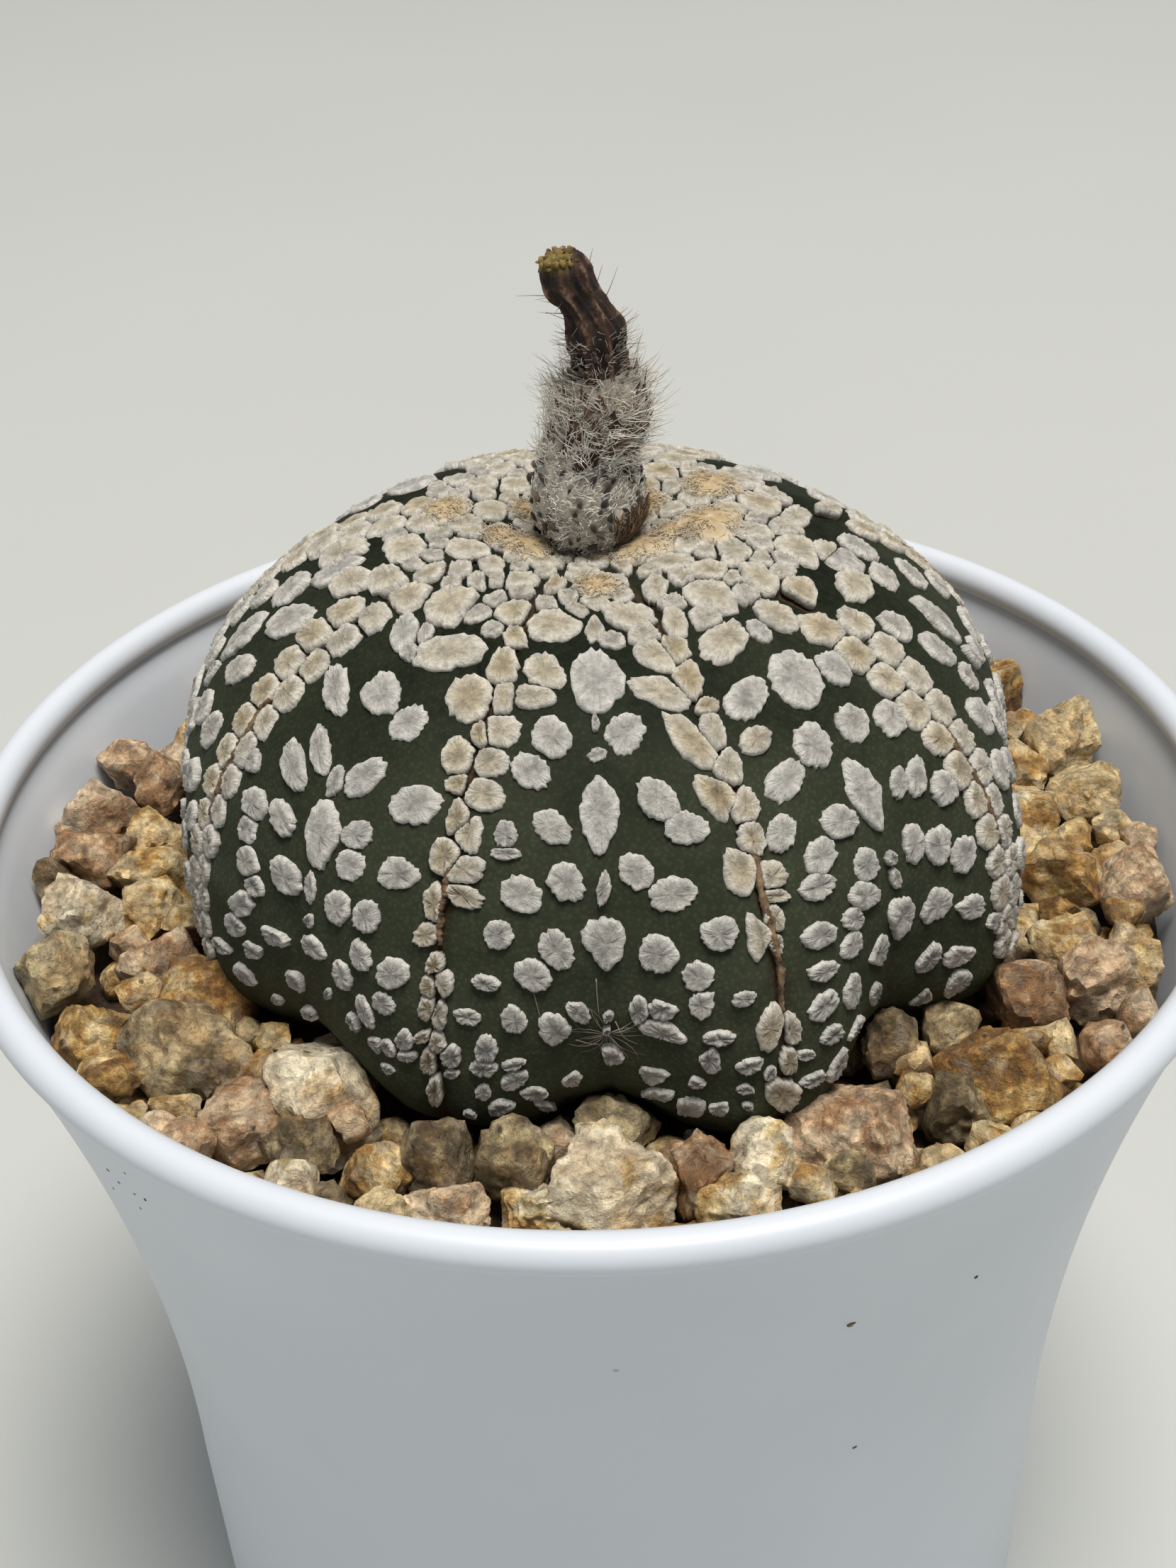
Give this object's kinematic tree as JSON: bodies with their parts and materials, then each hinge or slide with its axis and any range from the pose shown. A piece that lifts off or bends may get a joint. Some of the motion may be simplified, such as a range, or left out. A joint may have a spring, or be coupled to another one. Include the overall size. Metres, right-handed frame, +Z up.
{
  "type": "potted star cactus",
  "caption": "Low ribbed star cactus with raised felt scales and a withered flower, in grit, in a flared white plastic pot that stands on its foot.",
  "frame": {"origin": "middle of the pot's foot ring, on the surface that it stands on", "axes": "+Z up along the pot's axis, -Y towards the front of the plant, +X to its right"},
  "size_m": [0.1, 0.1, 0.1317],
  "materials": {
    "white_plastic": "semi-matt white, slightly translucent",
    "soil": "dark crumbly mineral mix",
    "granite_grit": "rough ochre, pink and grey grains",
    "cactus_skin": "matt dark green skin with white felt scales",
    "wool": "grey-white plant wool",
    "dried_flower": "dry wrinkled brown tissue"
  },
  "bodies": {
    "root": {"pot": "white_plastic", "potting_mix": "soil", "grit": "granite_grit", "cactus_body": "cactus_skin", "woolly_fruit": "wool", "dried_flower_tube": "dried_flower"}
  },
  "joints": []
}
